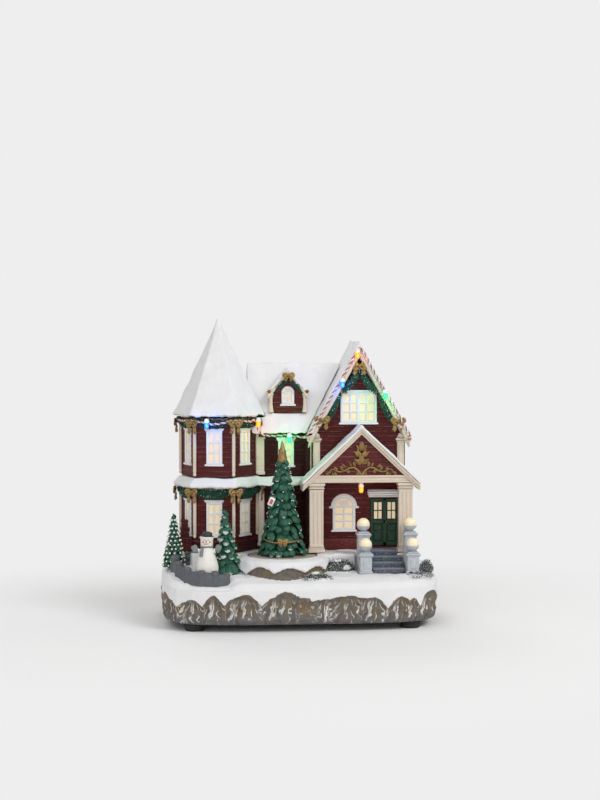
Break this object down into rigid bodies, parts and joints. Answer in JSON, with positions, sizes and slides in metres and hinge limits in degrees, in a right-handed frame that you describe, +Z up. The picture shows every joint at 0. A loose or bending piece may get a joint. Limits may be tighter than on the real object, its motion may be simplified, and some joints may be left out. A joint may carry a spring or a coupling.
{
  "type": "light-up christmas village house",
  "caption": "Lit snowy gabled house with a hexagonal tower and columned porch on a rock base, with a tree that turns on a geared disc.",
  "frame": {"origin": "on the ground under the middle of the base", "axes": "+Z up, the house looks towards -Y, the tower is at -X and the porch wing at +X"},
  "size_m": [0.226, 0.14, 0.25],
  "materials": {
    "house_red": "matte painted resin, clapboards dry brushed",
    "snow": "matte painted resin, white snow",
    "rock_base": "matte painted resin, snow over brown rock",
    "cream_trim": "satin painted resin",
    "lit_window": "pale translucent, lit from behind",
    "door_green": "satin painted resin",
    "stone_blue": "matte painted resin, speckled",
    "fir_green": "matte painted resin with white tips",
    "gold": "satin gold paint",
    "snowman_white": "matte painted resin",
    "twine": "twisted red and white cord",
    "lamp_blue": "clear coloured plastic",
    "lamp_green": "clear coloured plastic",
    "lamp_orange": "clear coloured plastic",
    "black_plastic": "matte moulded",
    "foot_rubber": "matte",
    "cell_jacket": "satin",
    "switch_metal": "satin",
    "knob_grey": "matte",
    "board_green": "satin solder mask",
    "motor_steel": "satin",
    "gear_plastic": "matte moulded",
    "spindle_steel": "satin"
  },
  "bodies": {
    "house": {"base_casting": "rock_base", "bottom_plate": "black_plastic", "battery_cell_1": "cell_jacket", "battery_cell_2": "cell_jacket", "battery_cell_3": "cell_jacket", "switch_body": "switch_metal", "circuit_board": "board_green", "foot_front_left": "foot_rubber", "foot_front_right": "foot_rubber", "foot_back_left": "foot_rubber", "foot_back_right": "foot_rubber", "gear_motor": "motor_steel", "tower_lower_wall": "house_red", "tower_upper_wall": "house_red", "tower_lower_trim": "cream_trim", "tower_upper_trim": "cream_trim", "tower_lower_windows": "lit_window", "tower_upper_windows": "lit_window", "tower_skirt_roof": "snow", "tower_spire": "snow", "centre_wall": "house_red", "centre_window": "lit_window", "main_roof": "snow", "dormer_wall": "house_red", "dormer_roof": "snow", "dormer_window": "lit_window", "wing_wall": "house_red", "wing_roof": "snow", "gable_window": "lit_window", "porch_window": "lit_window", "porch_roof": "snow", "porch_pediment": "cream_trim", "porch_column_left": "cream_trim", "porch_column_right": "cream_trim", "front_door": "door_green", "door_canopy": "snow", "entry_steps": "stone_blue", "stair_wall_left": "stone_blue", "stair_wall_right": "stone_blue", "tower_garland": "fir_green", "gable_garland": "fir_green", "small_tree_left": "fir_green", "small_tree_front": "fir_green", "snowman": "snowman_white", "light_string": "twine", "lamp_blue_tower": "lamp_blue", "lamp_blue_gable": "lamp_blue", "lamp_green_centre": "lamp_green", "lamp_green_gable": "lamp_green", "lamp_orange_tower": "lamp_orange", "lamp_orange_gable": "lamp_orange", "lamp_orange_porch": "lamp_orange"},
    "tree": {"turntable_disc": "snow", "tree_body": "fir_green", "tree_topper": "gold", "tree_gear": "gear_plastic", "tree_spindle": "spindle_steel"},
    "pinion": {"output_pinion": "gear_plastic"},
    "battery_lid": {"battery_door": "black_plastic"},
    "knob": {"switch_knob": "knob_grey"}
  },
  "joints": [
    {"name": "tree_spin", "type": "hinge", "parent": "house", "child": "tree", "pos_m": [-0.0146, -0.023, 0.054], "axis": [0, 0, 1], "continuous": true},
    {"name": "pinion_spin", "type": "hinge", "parent": "house", "child": "pinion", "pos_m": [0.0022, -0.023, 0.0435], "axis": [0, 0, 1], "continuous": true},
    {"name": "battery_door_hinge", "type": "hinge", "parent": "house", "child": "battery_lid", "pos_m": [0, 0.00745, 0.0051], "axis": [-1, 0, 0], "range_deg": [0, 95]},
    {"name": "switch_slide", "type": "slide", "parent": "house", "child": "knob", "axis": [1, 0, 0], "range_m": [0, 0.004]}
  ],
  "couplings": [
    {"joint": "pinion_spin", "follows": "tree_spin", "ratio": -3}
  ]
}
